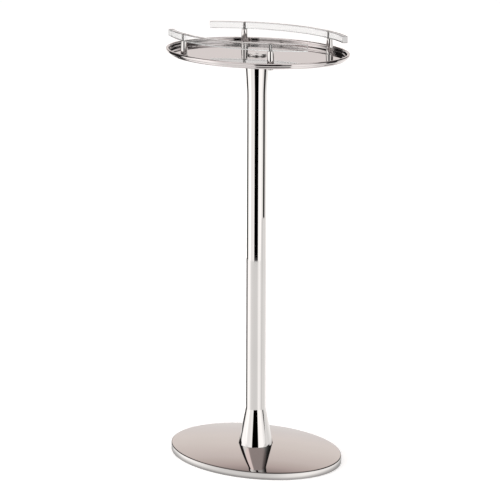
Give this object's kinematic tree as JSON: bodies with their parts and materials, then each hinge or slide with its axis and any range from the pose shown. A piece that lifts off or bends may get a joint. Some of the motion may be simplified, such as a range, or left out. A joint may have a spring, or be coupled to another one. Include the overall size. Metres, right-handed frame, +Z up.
{
  "type": "wine bucket stand",
  "caption": "Free-standing polished pedestal: low domed oval foot plate, slim tapered column and a shallow oval tray with curved clear side bars that keep a bucket in place.",
  "frame": {"origin": "centre of the oval foot, on the floor under the rubber pads", "axes": "+Z up along the column, +X along the long axis of both ovals, +Y towards the rear gallery bar"},
  "size_m": [0.29, 0.23, 0.649],
  "materials": {
    "polished_steel": "mirror polished stainless steel",
    "clear_acrylic": "polished clear acrylic",
    "black_rubber": "matte",
    "zinc_steel": "zinc plated, satin",
    "clear_nylon": "translucent nylon"
  },
  "bodies": {
    "root": {"base_plate": "polished_steel", "foot_pads": "black_rubber", "base_washer": "zinc_steel", "base_nut": "zinc_steel", "lower_dowel": "zinc_steel", "lower_cone": "polished_steel", "column_tube": "polished_steel", "upper_flare": "polished_steel", "tie_rod": "zinc_steel", "upper_dowel": "zinc_steel", "support_disc": "zinc_steel", "tray": "polished_steel", "centre_washer": "clear_nylon", "centre_cap": "polished_steel", "post_front_left": "polished_steel", "post_front_right": "polished_steel", "post_rear_left": "polished_steel", "post_rear_right": "polished_steel", "rail_washers": "clear_nylon", "post_bolt_washers": "zinc_steel", "post_bolts": "zinc_steel", "rear_rail": "clear_acrylic", "rear_rail_screws": "polished_steel", "front_rail": "clear_acrylic", "front_rail_screws": "polished_steel"}
  },
  "joints": []
}
